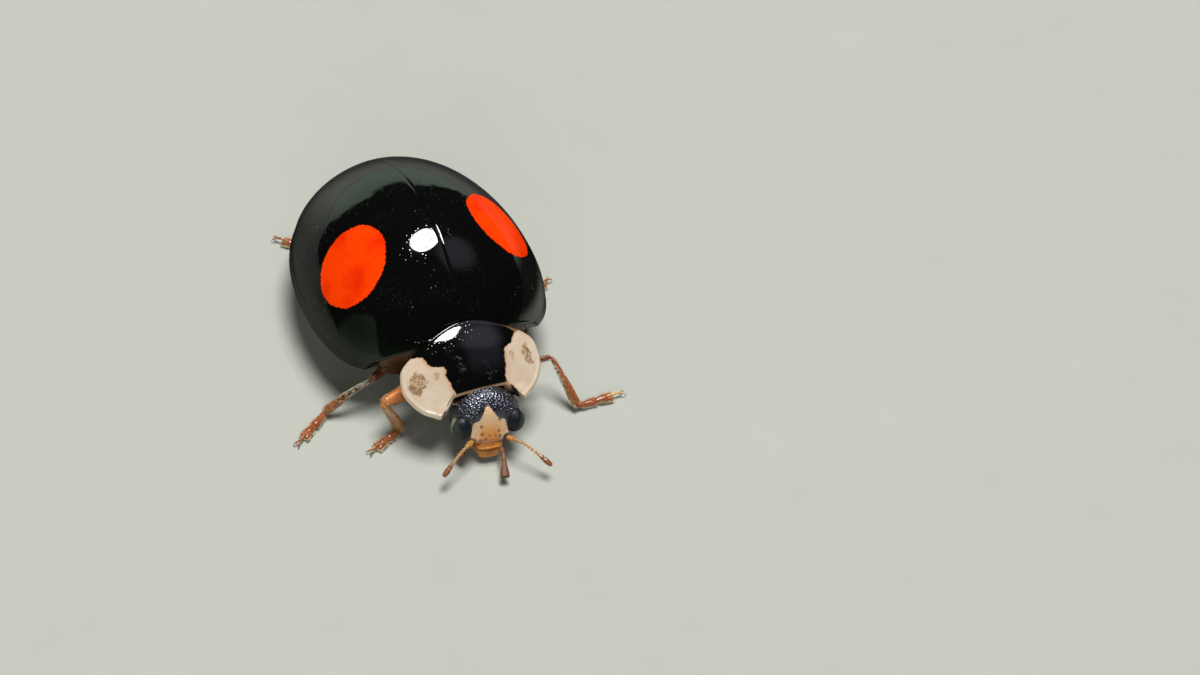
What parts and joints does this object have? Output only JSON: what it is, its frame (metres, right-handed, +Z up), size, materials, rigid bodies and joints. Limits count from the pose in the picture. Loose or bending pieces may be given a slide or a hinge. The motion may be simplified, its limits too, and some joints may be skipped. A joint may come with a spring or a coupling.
{
  "type": "harlequin ladybird",
  "caption": "Life-size still model of a harlequin ladybird, black with two red spots, standing on its feet with its head lowered.",
  "frame": {"origin": "under the middle of the whole insect's box, at the level of its soles", "axes": "+Z up, -Y the way the ladybird faces, +X its left side"},
  "size_m": [0.0078, 0.0088, 0.0037],
  "materials": {
    "wing_case": "polished black cuticle, finely punctured, with one orange-red spot on each wing case",
    "pronotum": "polished black cuticle with a waxy cream patch at each side",
    "head": "satin black cuticle, finely punctured",
    "face": "satin cream to orange cuticle",
    "mouth": "glossy orange-brown cuticle",
    "eye": "glossy grey-black compound eye",
    "feeler": "translucent amber cuticle with fine hairs",
    "leg": "glossy red-brown cuticle with golden hairs",
    "foot": "hairy red-brown cuticle",
    "underside": "dark brown cuticle, red-brown at its edges"
  },
  "bodies": {
    "root": {"elytron_left": "wing_case", "elytron_right": "wing_case", "scutellum": "wing_case", "pronotum": "pronotum", "prothorax": "underside", "thorax": "underside", "abdomen": "underside", "head": "head", "eye_left": "eye", "eye_right": "eye", "clypeus": "face", "labrum": "mouth", "mouthparts": "mouth", "antenna_left": "feeler", "antenna_right": "feeler", "palp_left": "feeler", "palp_right": "feeler", "femur_front_left": "leg", "tibia_front_left": "leg", "tarsus_front_left": "foot", "femur_front_right": "leg", "tibia_front_right": "leg", "tarsus_front_right": "foot", "femur_middle_left": "leg", "tibia_middle_left": "leg", "tarsus_middle_left": "foot", "femur_middle_right": "leg", "tibia_middle_right": "leg", "tarsus_middle_right": "foot", "femur_hind_left": "leg", "tibia_hind_left": "leg", "tarsus_hind_left": "foot", "femur_hind_right": "leg", "tibia_hind_right": "leg", "tarsus_hind_right": "foot"}
  },
  "joints": []
}
